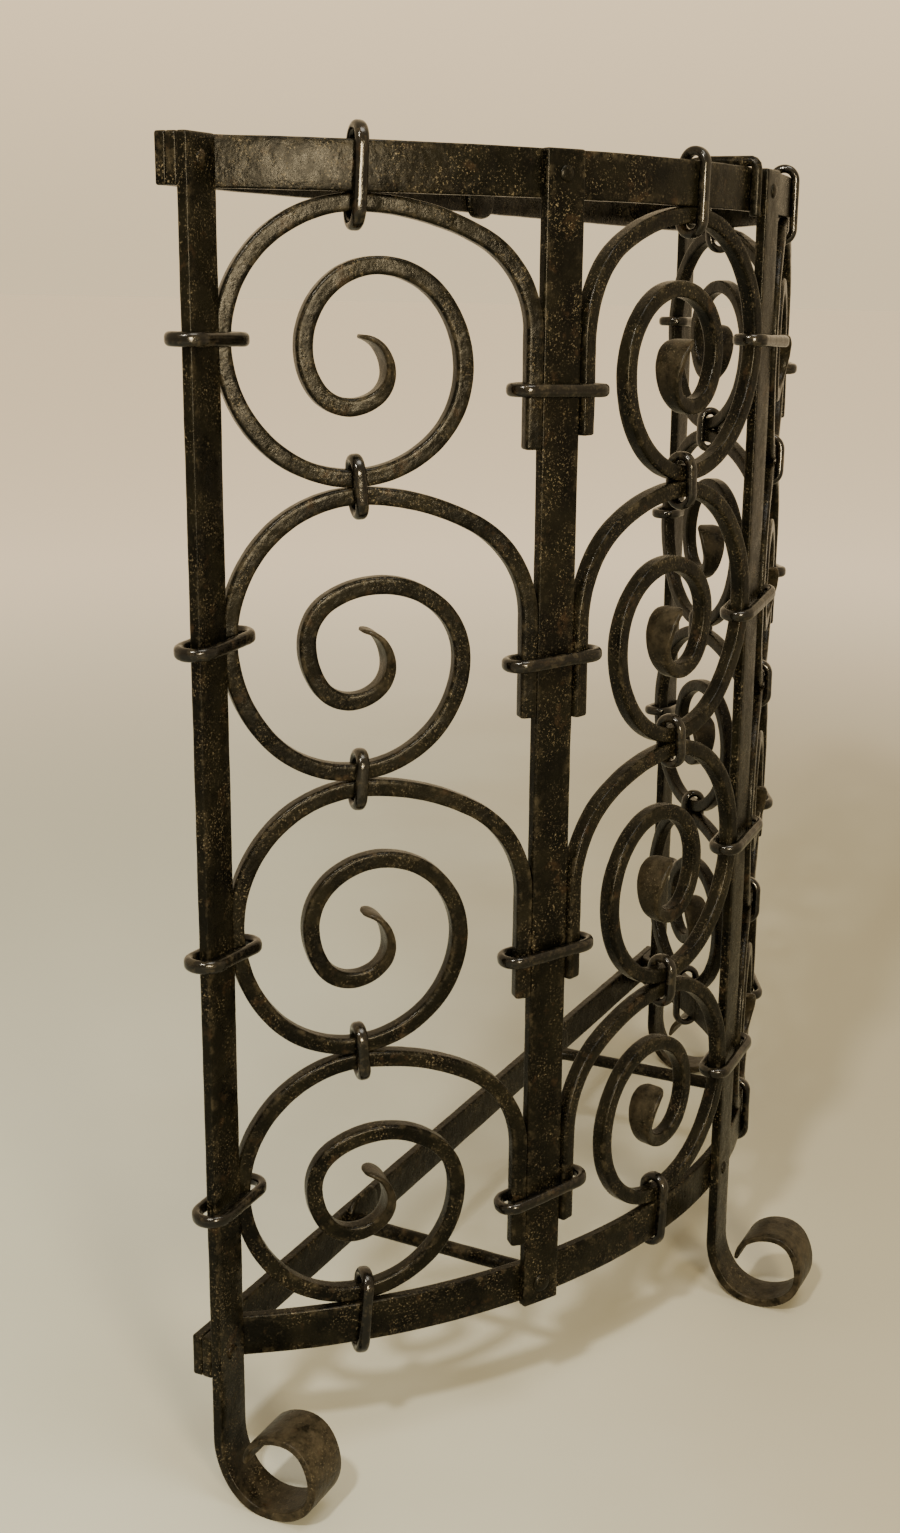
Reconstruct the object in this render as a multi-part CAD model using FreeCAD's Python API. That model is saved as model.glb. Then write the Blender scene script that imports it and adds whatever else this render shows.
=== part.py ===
import FreeCAD, Part
import math
import os
from FreeCAD import Vector

# Bowed wrought-iron fireplace screen. All lengths are in millimetres.
# X runs along the straight back bars, Y points to the back, Z is up.
# While the pieces are drawn, Y = 0 is the front face of the two end posts.
# At the end everything is shifted so the origin is the middle of the footprint, on the floor.

# ---- stock sizes -------------------------------------------------------------
BAR_WIDTH = 25.4            # flat bar for posts and rails, one inch by a quarter inch
BAR_THICK = 6.35
SCROLL_BAR = 9.5            # square bar of the scrolls
SCROLL_EDGE = 1.3           # softened corners of the scroll bar
COLLAR_TALL = 7.4           # oval rod of the collars, along the bars it ties
COLLAR_THICK = 5.4          # the same rod, away from the bars
COLLAR_FIT = 2.0            # how far a bundle's end reaches into the collar's round end
COLLAR_TUCK = 1.3           # how much closer the thin edge of an end post sits in that end
BRACE_DIA = 9.5             # round rod of the two bottom braces
TOP_BRACE_DIA = 6.4         # and of the lighter top brace
SOFT_EDGE = 0.8             # worn corners of the flat bars

# ---- overall layout ----------------------------------------------------------
HEIGHT = 765.0              # floor to the top of the posts
RAIL_BOTTOM = 81.0          # floor to the underside of the bottom rails
BOW_RADIUS = 405.0          # front face of the curved rails
BOW_DEPTH = 180.0           # end-post front face to centre-post front face
INNER_POST_ANGLE = 29.0     # degrees round the bow from the centre post
KNEE_RADIUS = 6.35          # bend where a curved rail turns to lie along the back bar
CLEAR = 0.1                 # play left between neighbouring pieces
KNEE_GAP = 0.2              # between the end of the bow's bend and the end post
STUB = 1.0                  # how far the two footless posts reach below the bottom rail

ROWS = 4                    # scrolls stacked in each bay
ROW_NAMES = ["top", "upper", "lower", "bottom"]

# ---- scroll, measured on the middle line of its bar --------------------------
# Across: share of the bay from the round side (0) to the tail (1).
# Up: share of the scroll's height. Listed from the tail inwards, a quarter of a turn each.
SCROLL_TURNS = [
    (1.000, 0.535),         # the tail starts to lean over
    (0.425, 1.000),         # top of the arch
    (0.000, 0.505),         # against the outer post
    (0.402, 0.000),         # resting on the scroll or rail below
    (0.768, 0.405),
    (0.490, 0.729),         # top of the second turn
    (0.251, 0.480),
    (0.395, 0.263),
    (0.520, 0.390),
    (0.425, 0.522),         # tip of the flared leaf
]
SECOND_TOP = 5              # place of the second turn's top in that list
LEAF_ARCS = 4               # the leaf takes up the last arcs, two to a quarter turn
# The scrolls were bent by eye. One list per bay, from the left, each from the top down:
# how far the meeting of two scrolls sits above its even place,
JOINT_RISE = [(8.5, 5.5, 1.0), (1.0, -2.0, -3.0), (0.0, 2.0, -1.0), (3.0, 1.0, 2.0)]
# how far the second turn's top sits above its usual place,
SECOND_TOP_RISE = [(7.0, -7.0, -1.0, -7.0), (-1.0, -3.0, 1.5, 3.0),
                   (2.0, -2.0, 3.0, 0.0), (0.0, 3.0, -3.0, 1.0)]
# and how far the cut end of the tail stops above the scroll's underside.
TAIL_GAPS = [(18.0, 29.0, 22.0, 19.0), (32.0, 33.0, 31.0, 26.0),
             (22.0, 26.0, 20.0, 24.0), (28.0, 24.0, 30.0, 25.0)]
# Leaf sections: share of the leaf's length, thickness in the panel, width across the panel.
LEAF_SECTIONS = [
    (0.00, 9.5, 9.5),
    (0.28, 7.6, 11.5),
    (0.52, 5.4, 16.5),
    (0.74, 3.8, 21.0),
    (0.90, 2.8, 20.0),
    (0.98, 2.2, 13.0),
    (1.00, 1.8, 6.0),
]

# ---- foot, drawn on the middle line of the strip -----------------------------
# Outwards from the post's front face, then up from the floor. The lowest spot lies closer to
# the floor than half the strip's thickness, which leaves a small worn flat to stand on.
FOOT_START = 42.0           # height where the leg starts to curl
FOOT_TURNS = [(29.0, 2.6), (61.5, 30.0), (42.5, 55.5), (17.0, 34.0)]
# Foot sections: share of the curl's length, thickness, width.
FOOT_SECTIONS = [
    (0.0, 6.35, 25.4),
    (0.3, 5.9, 27.0),
    (0.6, 5.0, 31.0),
    (0.9, 3.8, 34.0),
    (1.0, 2.6, 32.0),
]
FOOT_STEPS = 6              # sections lofted through in each quarter turn

# ---- collars -----------------------------------------------------------------
# Heights of the collars round each post, from the centre line of the row of scrolls.
OUTER_COLLAR_DROP = [-6.0, -8.5, 6.5, -2.0]
INNER_COLLAR_DROP = [21.0, 12.5, 30.5, 29.0]
CENTRE_COLLAR_DROP = [-2.5, 5.0, 4.5, 6.0]
BAY_COLLAR_SHARE = 0.42     # where the bay's upright collars sit, from the round side
SCROLL_BITE = 0.5           # how far a scroll bar's corners press into the collar round it
RAIL_PLAY = 0.2             # between a rail and the collar round it
TALL_PLAY = 0.3             # above and below the bars inside an upright collar

# ---- rivets and braces -------------------------------------------------------
RIVET_SHANK = 3.0           # radius
RIVET_HEAD = 4.5            # radius
RIVET_RISE = 1.6            # height of the domed head
BRACE_LEFT_X = -190.0       # where each brace meets the back bar
BRACE_RIGHT_X = 132.0
BRACE_TOP_X = -24.0
BRACE_NECK = 7.0            # straight part of a bottom brace behind the bow, before it bends
LEFT_PALM_RISE = 3.8        # middle of the palm above the middle of the back bar
RIGHT_PALM_RISE = -2.7
PALM_LONG = 36.0            # flattened end of a brace
PALM_TALL = 29.0
PALM_THICK = 3.6
PALM_CORNER = 12.2
PALM_OFFSET = 12.0          # middle of a bottom brace's palm, to the right of its rod
PALM_ROOT = 0.4             # share of a palm's thickness where the rod's middle line ends
TOP_PALM_OFFSET = 6.0
TOP_PALM_DROP = 2.0         # middle of the top palm below the middle of the back bar
TOP_ROD_RISE = 1.0          # the top rod's level above the same
TOP_PLAY = 0.3              # between the top rod and the rail it hooks over
HOOK_BEND = 4.0             # bend radius of its hook, on the middle line
HOOK_DROP = 3.0             # how far the hook's tip hangs below the top rail
CLIMB_LONG = 26.0           # front to back length of the top rod's climb
CLIMB_BEFORE = 20.0         # straight part between the climb and the rail

RAIL_TOP = RAIL_BOTTOM + BAR_WIDTH
TOP_RAIL_BOTTOM = HEIGHT - BAR_WIDTH
TOP_RIVET_Z = HEIGHT - BAR_WIDTH / 2
BOTTOM_RIVET_Z = RAIL_BOTTOM + BAR_WIDTH / 2
PITCH = (TOP_RAIL_BOTTOM - RAIL_TOP) / ROWS
BOW_CENTRE_Y = BOW_RADIUS - (BOW_DEPTH - BAR_THICK)
CHORD_FRONT_Y = 2 * BAR_THICK
UP = Vector(0, 0, 1)
RIGHT = Vector(1, 0, 0)
FRONT = Vector(0, -1, 0)


def find_end_post_edge():
    """X of the inner edge of an end post: where the curved rail's knee begins."""
    middle_radius = BOW_RADIUS - BAR_THICK / 2
    flange_y = 1.5 * BAR_THICK
    rise = BOW_CENTRE_Y - flange_y + KNEE_RADIUS
    return math.sqrt((middle_radius + KNEE_RADIUS) ** 2 - rise ** 2)


KNEE_X = find_end_post_edge()
END_POST_X = KNEE_X + KNEE_GAP + BAR_WIDTH / 2
BAR_END_X = END_POST_X + BAR_WIDTH / 2


def post_frame(index):
    """Middle of a post's front face, its outward direction and its left-to-right direction."""
    if index in (0, 4):
        side = -1 if index == 0 else 1
        return Vector(side * END_POST_X, 0, 0), Vector(0, -1, 0), Vector(1, 0, 0)
    angle = math.radians((index - 2) * INNER_POST_ANGLE)
    outward = Vector(math.sin(angle), -math.cos(angle), 0)
    along = Vector(math.cos(angle), math.sin(angle), 0)
    centre = Vector(0, BOW_CENTRE_Y, 0) + outward * (BOW_RADIUS + BAR_THICK)
    return centre, outward, along


def rounded_section(centre, wide_axis, thick_axis, wide, thick, corner):
    """Closed wire of a rectangle with rounded corners, standing at a point."""
    corner = min(corner, 0.48 * wide, 0.48 * thick)
    a = wide / 2
    b = thick / 2
    k = corner * (1 - math.sqrt(0.5))

    def at(u, v):
        return centre + wide_axis * u + thick_axis * v

    edges = []
    spots = [(1, 1), (-1, 1), (-1, -1), (1, -1)]
    for step, (su, sv) in enumerate(spots):
        before = at(su * a, sv * (b - corner))
        after = at(su * (a - corner), sv * b)
        if step % 2 == 1:
            before, after = after, before
        middle = at(su * (a - k), sv * (b - k))
        edges.append(Part.Arc(before, middle, after).toShape())
    joined = []
    for step in range(4):
        here = edges[step]
        following = edges[(step + 1) % 4]
        joined.append(here)
        joined.append(Part.makeLine(here.lastVertex().Point, following.firstVertex().Point))
    return Part.Wire(joined)


def arc_between(start, corner, end):
    """Arc that leaves start towards corner and arrives at end from it."""
    middle = (start + end) * 0.5
    cosine = (middle - start).Length / (corner - start).Length
    crown = middle + (corner - middle) * (cosine / (1 + cosine))
    return Part.Arc(start, crown, end).toShape()


def quarter_turn(start, corner, end):
    """Two arcs that turn through a right angle, like a quarter of an oval."""
    a = (corner - start).Length
    b = (end - corner).Length
    reach = (math.sqrt((a + b) ** 2 + 2 * (a * a + b * b)) - (a + b)) / 2
    first = start + (corner - start) * (reach / a)
    second = end + (corner - end) * (reach / b)
    join = (first + second) * 0.5
    return [arc_between(start, first, join), arc_between(join, second, end)]


def run_of_turns(spots, at):
    """Arcs through a list of plane points, each quarter starting square to the one before."""
    edges = []
    for step in range(len(spots) - 1):
        start = spots[step]
        end = spots[step + 1]
        corner = (start[0], end[1]) if step % 2 == 0 else (end[0], start[1])
        edges += quarter_turn(at(start), at(corner), at(end))
    return edges


def walk(edges, distance):
    """Point and direction at a distance along a run of edges."""
    for edge in edges[:-1]:
        if distance <= edge.Length:
            break
        distance -= edge.Length
    else:
        edge = edges[-1]
    spot = edge.getParameterByLength(min(distance, edge.Length))
    return edge.valueAt(spot), edge.tangentAt(spot)


def loft_along(edges, side_axis, sections, wide_is_side, corner):
    """Solid through rounded sections set square to a run. side_axis is square to its plane."""
    length = sum(edge.Length for edge in edges)
    wires = []
    for share, thick, wide in sections:
        place, tangent = walk(edges, length * share)
        across = tangent.cross(side_axis).normalize()
        if wide_is_side:
            wires.append(rounded_section(place, side_axis, across, wide, thick, corner))
        else:
            wires.append(rounded_section(place, across, side_axis, thick, wide, corner))
    solid = Part.makeLoft(wires, True, False)
    if solid.Volume < 0:
        solid.reverse()
    return solid


def keep_solid(shape, what):
    """One closed solid, facing outwards."""
    solids = shape.Solids
    if len(solids) != 1:
        raise RuntimeError("%s came out as %d solids" % (what, len(solids)))
    solid = solids[0]
    if solid.Volume < 0:
        solid.reverse()
    if not solid.isValid():
        raise RuntimeError("%s is not valid" % what)
    return solid


def pipe(edges, section, side_axis):
    shell = Part.BRepOffsetAPI.MakePipeShell(Part.Wire(edges))
    shell.setBiNormalMode(side_axis)
    shell.setTransitionMode(1)
    shell.add(section, False, False)
    shell.build()
    shell.makeSolid()
    return shell.shape()


# ---- posts -------------------------------------------------------------------
def straight_bar(centre, outward, along, low, high):
    """Upright flat bar whose front face is centred on a point."""
    middle = centre - outward * (BAR_THICK / 2) + UP * low
    section = rounded_section(middle, along, outward, BAR_WIDTH, BAR_THICK, SOFT_EDGE)
    return Part.Face(section).extrude(UP * (high - low))


def foot_section(share):
    """Thickness and width of the strip at a share of its curl."""
    for here, after in zip(FOOT_SECTIONS, FOOT_SECTIONS[1:]):
        if share <= after[0]:
            break
    part = (share - here[0]) / (after[0] - here[0])
    return [a + (b - a) * part for a, b in zip(here[1:], after[1:])]


def foot(centre, outward, along):
    """Curl at the bottom of a post: thinner and wider towards its lip, flat where it stands."""
    spots = [(-BAR_THICK / 2, FOOT_START)] + FOOT_TURNS

    def at(spot):
        return centre + outward * spot[0] + UP * spot[1]

    arcs = run_of_turns(spots, at)
    length = sum(arc.Length for arc in arcs)
    body = None
    reached = 0.0
    for first in range(0, len(arcs), 2):
        quarter = arcs[first:first + 2]
        quarter_length = sum(arc.Length for arc in quarter)
        sections = []
        for step in range(FOOT_STEPS + 1):
            part = step / FOOT_STEPS
            share = min((reached + quarter_length * part) / length, 1.0)
            sections.append((part, *foot_section(share)))
        reached += quarter_length
        curl = loft_along(quarter, along, sections, True, SOFT_EDGE)
        body = curl if body is None else body.fuse(curl)
    floor_block = Part.makeBox(400, 400, 40, centre - Vector(200, 200, 40))
    return body.cut(floor_block)


def make_post(index):
    centre, outward, along = post_frame(index)
    has_foot = index % 2 == 0
    low = FOOT_START if has_foot else RAIL_BOTTOM - STUB
    bar = straight_bar(centre, outward, along, low, HEIGHT)
    if has_foot:
        bar = bar.fuse(foot(centre, outward, along)).removeSplitter()
    for height in (BOTTOM_RIVET_Z, TOP_RIVET_Z):
        bar = bar.cut(rivet_hole(centre, outward, height, BAR_THICK))
    return keep_solid(bar, "post %d" % index)


def rivet_hole(centre, outward, height, depth):
    start = centre + UP * height + outward
    return Part.makeCylinder(RIVET_SHANK, depth + 2, start, outward * -1)


# ---- rails -------------------------------------------------------------------
def curved_rail(low, extra_holes):
    """Flat bar bowed into an arc, with both ends bent to lie along the back bar."""
    def offset_run(shift):
        radius = BOW_RADIUS - BAR_THICK / 2 + shift
        knee = KNEE_RADIUS - shift
        flange_y = 1.5 * BAR_THICK - shift
        knee_centre = Vector(KNEE_X, 1.5 * BAR_THICK - KNEE_RADIUS, 0)
        reach = knee_centre - Vector(0, BOW_CENTRE_Y, 0)
        reach.normalize()
        join = Vector(0, BOW_CENTRE_Y, 0) + reach * radius
        half_turn = (Vector(0, 1, 0) - reach).normalize()
        half = knee_centre + half_turn * knee
        return flange_y, knee_centre, join, half, radius

    loops = []
    for shift in (BAR_THICK / 2, -BAR_THICK / 2):
        flange_y, knee_centre, join, half, radius = offset_run(shift)
        mirrored = [Vector(-p.x, p.y, 0) for p in (join, half)]
        right_flange = Part.makeLine(Vector(BAR_END_X, flange_y, 0), Vector(KNEE_X, flange_y, 0))
        right_knee = Part.Arc(Vector(KNEE_X, flange_y, 0), half, join).toShape()
        bow = Part.Arc(join, Vector(0, BOW_CENTRE_Y - radius, 0), mirrored[0]).toShape()
        left_knee = Part.Arc(mirrored[0], mirrored[1], Vector(-KNEE_X, flange_y, 0)).toShape()
        left_flange = Part.makeLine(Vector(-KNEE_X, flange_y, 0), Vector(-BAR_END_X, flange_y, 0))
        loops.append([right_flange, right_knee, bow, left_knee, left_flange])
    ends = []
    for side in (1, -1):
        ends.append(Part.makeLine(Vector(side * BAR_END_X, BAR_THICK, 0),
                                  Vector(side * BAR_END_X, CHORD_FRONT_Y, 0)))
    outline = Part.Wire(Part.__sortEdges__(loops[0] + loops[1] + ends))
    rail = Part.Face(outline).extrude(UP * BAR_WIDTH)
    rail.translate(UP * low)
    for index in range(5):
        centre, outward, along = post_frame(index)
        behind = centre - outward * BAR_THICK
        rail = rail.cut(rivet_hole(behind, outward, low + BAR_WIDTH / 2, BAR_THICK))
    for spot, outward in extra_holes:
        rail = rail.cut(rivet_hole(spot, outward, low + BAR_WIDTH / 2, BAR_THICK))
    return rail


def back_bar(low):
    """Straight flat bar joining the two ends of the bow."""
    bar = Part.makeBox(2 * BAR_END_X, BAR_THICK, BAR_WIDTH, Vector(-BAR_END_X, CHORD_FRONT_Y, low))
    ends = [edge for edge in bar.Edges if edge.Length > 2 * BAR_WIDTH]
    bar = bar.makeFillet(SOFT_EDGE, ends)
    for index in (0, 4):
        centre, outward, along = post_frame(index)
        behind = centre - outward * CHORD_FRONT_Y
        bar = bar.cut(rivet_hole(behind, outward, low + BAR_WIDTH / 2, BAR_THICK))
    return bar


# ---- scrolls -----------------------------------------------------------------
def bar_reach(angle):
    """How far a scroll bar, turned by an angle against a post, reaches towards that post."""
    flat = SCROLL_BAR / 2 - SCROLL_EDGE
    return flat * (math.cos(angle) + math.sin(angle)) + SCROLL_EDGE + CLEAR


def bay_frame(bay):
    """Middle lines of the bar at the bay's round side and tail, and the bay's outward way."""
    left_centre, left_out, left_along = post_frame(bay)
    right_centre, right_out, right_along = post_frame(bay + 1)
    left_edge = left_centre - left_out * (BAR_THICK / 2) + left_along * (BAR_WIDTH / 2)
    right_edge = right_centre - right_out * (BAR_THICK / 2) - right_along * (BAR_WIDTH / 2)
    across = (right_edge - left_edge).normalize()
    left_turn = math.acos(min(1.0, across.dot(left_along)))
    right_turn = math.acos(min(1.0, across.dot(right_along)))
    left = left_edge + left_along * bar_reach(left_turn)
    right = right_edge - right_along * bar_reach(right_turn)
    across = (right - left).normalize()
    outward = Vector(across.y, -across.x, 0)
    tail_on_right = bay in (0, 2)
    if tail_on_right:
        return left, right, outward
    return right, left, outward


def joint_level(bay, joint):
    """Height where a scroll meets the one above it. 0 is the top rail, ROWS the bottom rail."""
    level = TOP_RAIL_BOTTOM - joint * PITCH
    if 0 < joint < ROWS:
        level += JOINT_RISE[bay][joint - 1]
    return level


def make_scroll(bay, row):
    """Square bar from a tail beside one post, over, round and in to a flared leaf."""
    round_side, tail_side, outward = bay_frame(bay)
    across = tail_side - round_side
    low = joint_level(bay, row + 1) + SCROLL_BAR / 2 + CLEAR
    tall = joint_level(bay, row) - SCROLL_BAR / 2 - CLEAR - low

    def at(spot):
        return round_side + across * spot[0] + UP * (low + tall * spot[1])

    turns = list(SCROLL_TURNS)
    share, rise = turns[SECOND_TOP]
    turns[SECOND_TOP] = (share, rise + SECOND_TOP_RISE[bay][row] / tall)
    arcs = run_of_turns(turns, at)
    stem = arcs[:-LEAF_ARCS]
    leaf = arcs[-LEAF_ARCS:]
    tail_end = at((1.0, 0.0))
    tail_end.z = low - SCROLL_BAR / 2 + TAIL_GAPS[bay][row]
    tail = Part.makeLine(tail_end, at(turns[0]))
    section_axis = (tail_side - round_side).normalize()
    section = rounded_section(tail_end, section_axis, outward, SCROLL_BAR, SCROLL_BAR, SCROLL_EDGE)
    bar = pipe([tail] + stem, section, outward)
    flare = loft_along(leaf, outward, LEAF_SECTIONS, False, SCROLL_EDGE)
    return keep_solid(bar.fuse(flare), "scroll %d %d" % (bay, row))


# ---- collars -----------------------------------------------------------------
def collar(middle, long_axis, short_axis, long_clear, short_clear):
    """Rod bent into a closed loop with round ends. The clear sizes are inside the loop."""
    bar_axis = long_axis.cross(short_axis)
    radius = short_clear / 2 + COLLAR_THICK / 2
    half_run = long_clear / 2 - COLLAR_FIT

    def at(u, v):
        return middle + long_axis * u + short_axis * v

    right = Part.Arc(at(half_run, radius), at(half_run + radius, 0), at(half_run, -radius)).toShape()
    lower = Part.makeLine(at(half_run, -radius), at(-half_run, -radius))
    left = Part.Arc(at(-half_run, -radius), at(-half_run - radius, 0), at(-half_run, radius)).toShape()
    start = at(0, radius)
    run = [Part.makeLine(start, at(half_run, radius)), right, lower, left,
           Part.makeLine(at(-half_run, radius), start)]
    oval = Part.Ellipse(Vector(0, 0, 0), COLLAR_TALL / 2, COLLAR_THICK / 2)
    placing = FreeCAD.Matrix(bar_axis.x, short_axis.x, long_axis.x, start.x,
                             bar_axis.y, short_axis.y, long_axis.y, start.y,
                             bar_axis.z, short_axis.z, long_axis.z, start.z,
                             0, 0, 0, 1)
    section = Part.Wire([oval.toShape().transformGeometry(placing)])
    return keep_solid(pipe(run, section, bar_axis), "collar")


def post_bundle(index):
    """Plan corners of everything a post's collars must go round."""
    centre, outward, along = post_frame(index)
    corners = []
    for u in (-1, 1):
        for v in (0, 1):
            corners.append(centre + along * (u * BAR_WIDTH / 2) - outward * (v * BAR_THICK))
    bars = []
    if index > 0:
        bars.append((index - 1, index in (1, 3)))
    if index < 4:
        bars.append((index, index in (1, 3)))
    for bay, is_tail in bars:
        round_side, tail_side, bay_out = bay_frame(bay)
        spot = tail_side if is_tail else round_side
        bay_across = (tail_side - round_side).normalize()
        half = SCROLL_BAR / 2 - SCROLL_BITE
        for u in (-half, half):
            for v in (-half, half):
                corners.append(spot + bay_across * u + bay_out * v)
    return corners


def post_collars(index):
    centre, outward, along = post_frame(index)
    along_spots = [(corner - centre).dot(along) for corner in post_bundle(index)]
    out_spots = [(corner - centre).dot(outward) for corner in post_bundle(index)]
    middle_along = (max(along_spots) + min(along_spots)) / 2
    middle_out = (max(out_spots) + min(out_spots)) / 2
    long_clear = max(along_spots) - min(along_spots)
    if index in (0, 4):
        inwards = 1 if index == 0 else -1
        middle_along += inwards * COLLAR_TUCK / 2
        long_clear -= COLLAR_TUCK
    short_clear = max(out_spots) - min(out_spots) + 2 * CLEAR
    drops = CENTRE_COLLAR_DROP
    if index in (0, 4):
        drops = OUTER_COLLAR_DROP
    elif index in (1, 3):
        drops = INNER_COLLAR_DROP
    rings = []
    for row in range(ROWS):
        height = TOP_RAIL_BOTTOM - (row + 0.5) * PITCH - drops[row]
        middle = centre + along * middle_along + outward * middle_out + UP * height
        rings.append(collar(middle, along, outward, long_clear, short_clear))
    return Part.Compound(rings)


def bay_collars(bay):
    """Upright collars: rail and first scroll, each scroll and the next, last scroll and rail."""
    round_side, tail_side, outward = bay_frame(bay)
    spot = round_side + (tail_side - round_side) * BAY_COLLAR_SHARE
    rail_out = (spot - Vector(0, BOW_CENTRE_Y, 0)).Length
    rail_front = (BOW_RADIUS - rail_out) + RAIL_PLAY
    rail_back = rail_front - BAR_THICK - 2 * RAIL_PLAY
    half_bar = SCROLL_BAR / 2
    rings = []
    for joint in range(ROWS + 1):
        level = joint_level(bay, joint)
        low = level - SCROLL_BAR
        high = level + SCROLL_BAR
        front = half_bar
        back = -half_bar
        if joint in (0, ROWS):
            front = max(front, rail_front)
            back = min(back, rail_back)
        if joint == 0:
            high = HEIGHT
        if joint == ROWS:
            low = RAIL_BOTTOM
        middle = spot + outward * ((front + back) / 2) + UP * ((low + high) / 2)
        clear_deep = front - back + 2 * CLEAR
        clear_tall = high - low + 2 * TALL_PLAY
        rings.append(collar(middle, UP, outward, clear_tall, clear_deep))
    return Part.Compound(rings)


# ---- rivets ------------------------------------------------------------------
def dome(face, way):
    """Low domed head standing on a face."""
    ball = (RIVET_HEAD ** 2 + RIVET_RISE ** 2) / (2 * RIVET_RISE)
    slab = Part.makeCylinder(RIVET_HEAD * 1.2, RIVET_RISE * 1.5, face, way)
    return Part.makeSphere(ball, face - way * (ball - RIVET_RISE)).common(slab)


def rivet(front, outward, grip):
    """Shank through the bars with a low domed head on each side."""
    shank = Part.makeCylinder(RIVET_SHANK, grip, front, outward * -1)
    solid = shank.fuse(dome(front, outward)).fuse(dome(front - outward * grip, outward * -1))
    return keep_solid(solid, "rivet")


def rail_rivets(height, posts):
    rivets = []
    for index in posts:
        centre, outward, along = post_frame(index)
        grip = 3 * BAR_THICK if index in (0, 4) else 2 * BAR_THICK + CLEAR
        rivets.append(rivet(centre + UP * height, outward, grip))
    return Part.Compound(rivets)


# ---- braces ------------------------------------------------------------------
def palm(middle, along, outward):
    """Flattened, rounded end of a brace, lying against a bar. outward leaves that bar."""
    plate = rounded_section(middle, along, UP, PALM_LONG, PALM_TALL, PALM_CORNER)
    return Part.Face(plate).extrude(outward * PALM_THICK)


def rail_back_frame(x):
    """Point on the back face of the curved rail behind an X, with its inward and right ways."""
    radius = BOW_RADIUS - BAR_THICK
    angle = math.asin(x / radius)
    inward = Vector(-math.sin(angle), math.cos(angle), 0)
    along = Vector(math.cos(angle), math.sin(angle), 0)
    return Vector(0, BOW_CENTRE_Y, 0) - inward * radius, inward, along


def bottom_brace(x, palm_rise, front, outward, grip):
    """Round rod riveted over at the bow and flattened into a palm on the back bar."""
    shoulder = front - outward * (grip + CLEAR)
    bend = shoulder - outward * BRACE_NECK
    palm_middle = Vector(x + PALM_OFFSET, CHORD_FRONT_Y, BOTTOM_RIVET_Z + palm_rise)
    end = Vector(x, CHORD_FRONT_Y - PALM_THICK * PALM_ROOT, BOTTOM_RIVET_Z + palm_rise / 2)
    way = end - bend
    half = BRACE_DIA / 2
    tenon = Part.makeCylinder(RIVET_SHANK, grip + CLEAR, shoulder, outward)
    solid = tenon.fuse(dome(front, outward))
    solid = solid.fuse(Part.makeCylinder(half, BRACE_NECK, bend, outward))
    solid = solid.fuse(Part.makeSphere(half, bend))
    solid = solid.fuse(Part.makeCylinder(half, way.Length, bend, way))
    solid = solid.fuse(palm(palm_middle, RIGHT, FRONT))
    return keep_solid(solid, "bottom brace")


def top_brace():
    """Rod fixed to the top back bar, run forward over the curved rail and hooked down its front."""
    x = BRACE_TOP_X
    half = TOP_BRACE_DIA / 2
    face_y = rail_back_frame(x)[0].y
    front_y = face_y - BAR_THICK - half - TOP_PLAY
    top_z = HEIGHT + half + TOP_PLAY
    bend = HOOK_BEND
    level = TOP_RIVET_Z + TOP_ROD_RISE
    climb_y = face_y + CLIMB_BEFORE
    start = Vector(x, CHORD_FRONT_Y - PALM_THICK * PALM_ROOT, level)
    lean = Vector(x, climb_y + 2 * CLIMB_LONG, level)
    climb = Vector(x, climb_y, top_z)
    over = Vector(x, front_y + bend, top_z)
    down = Vector(x, front_y, top_z - bend)
    tip = Vector(x, front_y, TOP_RAIL_BOTTOM - HOOK_DROP)
    s_bend = Part.BSplineCurve()
    s_bend.interpolate(Points=[lean, climb], InitialTangent=FRONT, FinalTangent=FRONT)
    knuckle = (over + down) * 0.5 + Vector(0, -bend, bend) * (math.sqrt(0.5) - 0.5)
    run = [Part.makeLine(start, lean), s_bend.toShape(), Part.makeLine(climb, over),
           Part.Arc(over, knuckle, down).toShape(), Part.makeLine(down, tip)]
    ring = Part.Wire([Part.makeCircle(half, start, FRONT)])
    rod = pipe(run, ring, RIGHT)
    palm_middle = Vector(x + TOP_PALM_OFFSET, CHORD_FRONT_Y, TOP_RIVET_Z - TOP_PALM_DROP)
    return keep_solid(rod.fuse(palm(palm_middle, RIGHT, FRONT)), "top brace")


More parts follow.
